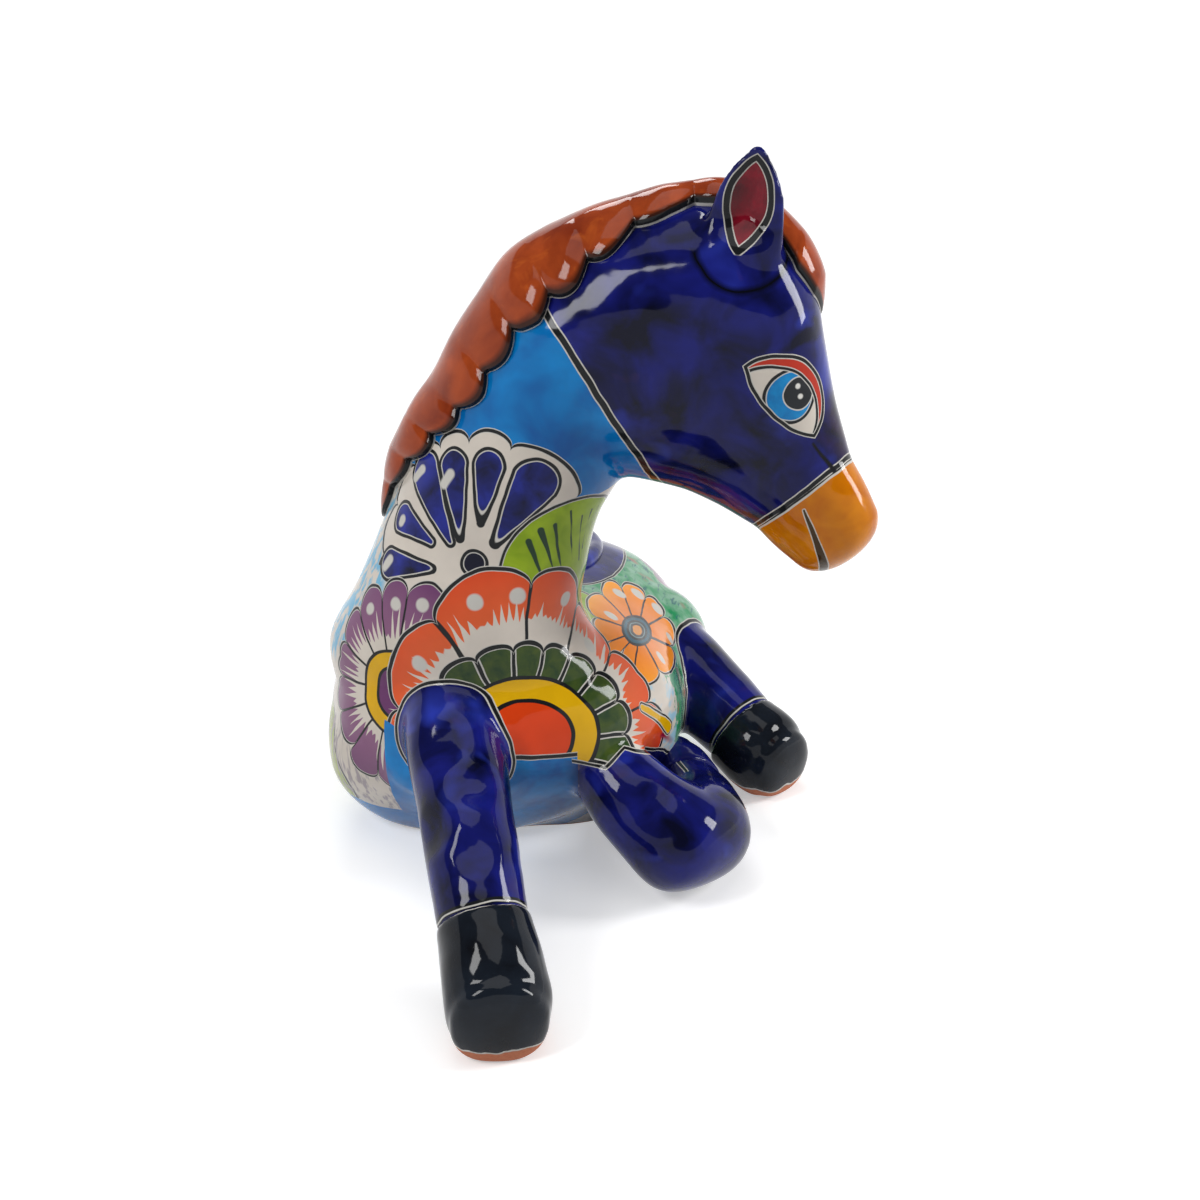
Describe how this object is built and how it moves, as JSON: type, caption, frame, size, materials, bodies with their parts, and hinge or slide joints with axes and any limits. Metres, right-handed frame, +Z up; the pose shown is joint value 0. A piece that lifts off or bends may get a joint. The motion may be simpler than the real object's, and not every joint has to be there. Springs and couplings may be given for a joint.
{
  "type": "horse planter",
  "caption": "Glazed earthenware planter shaped as a lying horse with its head turned; the low barrel is a pot with a mouth behind the neck and a drain in its flat foot.",
  "frame": {"origin": "on the table, on the flat foot of the pot near its middle", "axes": "the horse faces -Y and its left side is +X; +Z is up, out of the pot's mouth"},
  "size_m": [0.2445, 0.3217, 0.294],
  "materials": {
    "painted_majolica": "hand-painted tin glaze, glossy, flowers and leaves in many colours with dark outlines",
    "cobalt_glaze": "glossy cobalt blue glaze, mottled",
    "amber_glaze": "glossy amber yellow glaze",
    "russet_glaze": "glossy brown-orange glaze",
    "black_glaze": "glossy black glaze"
  },
  "bodies": {
    "root": {"body_pot": "painted_majolica", "mouth_rim": "cobalt_glaze", "neck_shell": "painted_majolica", "head_shell": "cobalt_glaze", "muzzle": "amber_glaze", "mane": "russet_glaze", "forelock": "russet_glaze", "ear_right": "cobalt_glaze", "ear_left": "cobalt_glaze", "foreleg_right": "cobalt_glaze", "fore_hoof_right": "black_glaze", "foreleg_left": "cobalt_glaze", "fore_hoof_left": "black_glaze", "hind_leg_left": "cobalt_glaze", "hind_hoof_left": "black_glaze", "hind_leg_right": "cobalt_glaze", "hind_hoof_right": "black_glaze", "tail": "russet_glaze"}
  },
  "joints": []
}
